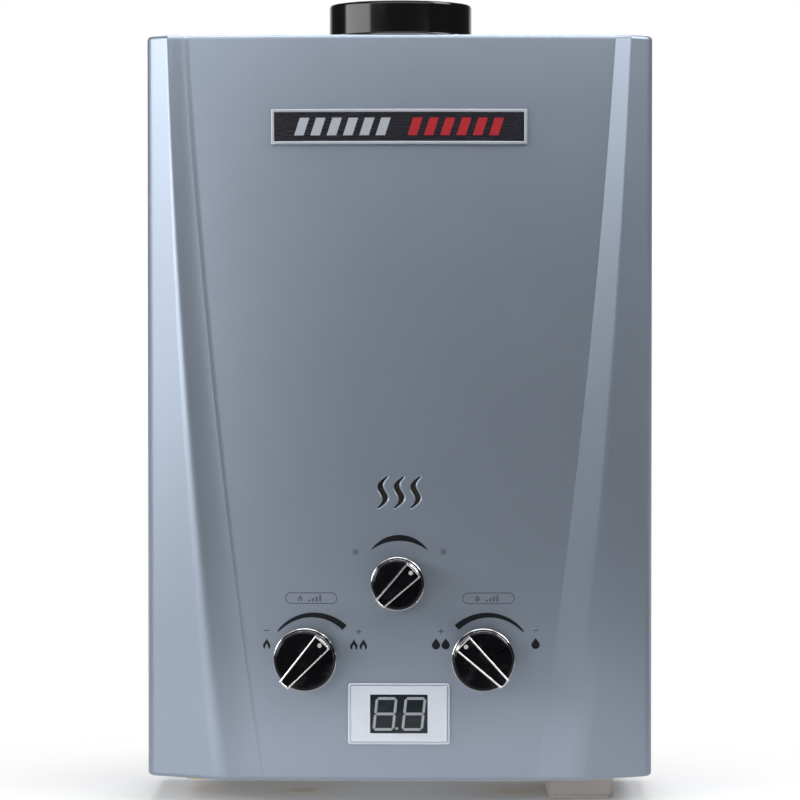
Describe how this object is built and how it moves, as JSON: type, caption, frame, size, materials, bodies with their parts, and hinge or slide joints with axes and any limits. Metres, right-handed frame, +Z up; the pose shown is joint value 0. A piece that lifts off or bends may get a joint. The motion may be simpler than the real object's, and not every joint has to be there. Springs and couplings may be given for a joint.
{
  "type": "tankless gas water heater",
  "caption": "Wall-hung instantaneous gas water heater: folded steel casing with rotary controls, display, flue spigot and battery box around burner, finned exchanger and flow valve.",
  "frame": {"origin": "middle of the four wall holes, on the back plate's rear face", "axes": "+Z up, -Y out of the wall towards the user, +X to the right as seen from the front"},
  "size_m": [0.3, 0.1497, 0.4755],
  "materials": {
    "silver_paint": "smooth metallic silver lacquer",
    "gloss_black": "polished black",
    "black_enamel": "gloss black enamel",
    "chrome_trim": "bright plating",
    "silver_bezel": "silver lacquered plastic",
    "display_glass": "dark tinted window",
    "mica": "mica sheet",
    "dark_plastic": "black moulding",
    "board": "green laminate",
    "zinc": "zinc-plated sheet",
    "stainless": "bare stainless sheet",
    "copper": "bare copper",
    "brass": "turned and forged brass",
    "cast_alloy": "die-cast",
    "rubber": "moulded rubber",
    "ceramic": "glazed ceramic",
    "taupe_plastic": "fine-grained moulding",
    "cell_jacket": "printed steel jacket",
    "wire": "insulated lead",
    "pale_plastic": "pale housing"
  },
  "bodies": {
    "chassis": {"front_cover": "silver_paint", "flue_collar": "black_enamel", "badge_frame": "chrome_trim", "badge_inlay": "gloss_black", "flame_window": "mica", "display_bezel": "silver_bezel", "display_lens": "display_glass", "display_module": "dark_plastic", "display_board": "board", "back_plate": "zinc", "bottom_plate": "zinc", "core_brackets": "zinc", "cover_screws": "zinc", "exhaust_hood": "zinc", "exchanger_shell": "copper", "exchanger_fins": "copper", "exchanger_tubes": "copper", "combustion_chamber": "copper", "chamber_coil": "copper", "burner_bars": "stainless", "burner_frame": "stainless", "gas_manifold": "cast_alloy", "season_valve": "cast_alloy", "gas_feed_pipe": "cast_alloy", "gas_valve_body": "cast_alloy", "gas_solenoid": "dark_plastic", "gas_inlet": "brass", "water_valve_body": "brass", "diaphragm_cover": "brass", "diaphragm": "rubber", "return_spring": "stainless", "cold_inlet": "brass", "inlet_filter": "stainless", "cold_pipe": "copper", "hot_pipe": "copper", "hot_outlet": "brass", "union_nuts": "brass", "drain_plug": "dark_plastic", "switch_bracket": "zinc", "microswitch": "dark_plastic", "ignition_controller": "pale_plastic", "ignition_electrode": "ceramic", "flame_sensor": "ceramic", "overheat_switch": "stainless", "battery_box": "taupe_plastic", "batteries": "cell_jacket", "battery_contacts": "stainless", "wiring_harness": "wire"},
    "flame_control": {"flame_knob": "gloss_black", "flame_knob_trim": "chrome_trim", "flame_spindle": "brass"},
    "water_control": {"water_knob": "gloss_black", "water_knob_trim": "chrome_trim", "water_spindle": "brass"},
    "season_control": {"season_knob": "gloss_black", "season_knob_trim": "chrome_trim", "season_spindle": "brass"},
    "door": {"battery_door": "taupe_plastic"},
    "rod": {"push_rod": "stainless"},
    "lever": {"switch_lever": "stainless"}
  },
  "joints": [
    {"name": "flame_turn", "type": "hinge", "parent": "chassis", "child": "flame_control", "pos_m": [-0.0554, -0.104, -0.1485], "axis": [0, 1, 0], "range_deg": [-90, 0]},
    {"name": "water_turn", "type": "hinge", "parent": "chassis", "child": "water_control", "pos_m": [0.0496, -0.104, -0.1485], "axis": [0, 1, 0], "range_deg": [0, 90]},
    {"name": "season_turn", "type": "hinge", "parent": "chassis", "child": "season_control", "pos_m": [-0.0008, -0.104, -0.1037], "axis": [0, 1, 0], "range_deg": [-90, 0]},
    {"name": "door_hinge", "type": "hinge", "parent": "chassis", "child": "door", "pos_m": [0.108, -0.0204, -0.232], "axis": [1, 0, 0], "range_deg": [0, 95]},
    {"name": "rod_slide", "type": "slide", "parent": "chassis", "child": "rod", "axis": [-1, 0, 0], "range_m": [0, 0.003], "stiffness_N_per_m": 800, "springref_m": -0.003, "deforming": ["return_spring", "diaphragm"]},
    {"name": "lever_pivot", "type": "hinge", "parent": "chassis", "child": "lever", "pos_m": [-0.013, -0.068, -0.13], "axis": [0, 1, 0], "range_deg": [0, 14.5]}
  ],
  "couplings": [
    {"joint": "lever_pivot", "follows": "rod_slide", "rad_per_m": 83.333}
  ]
}
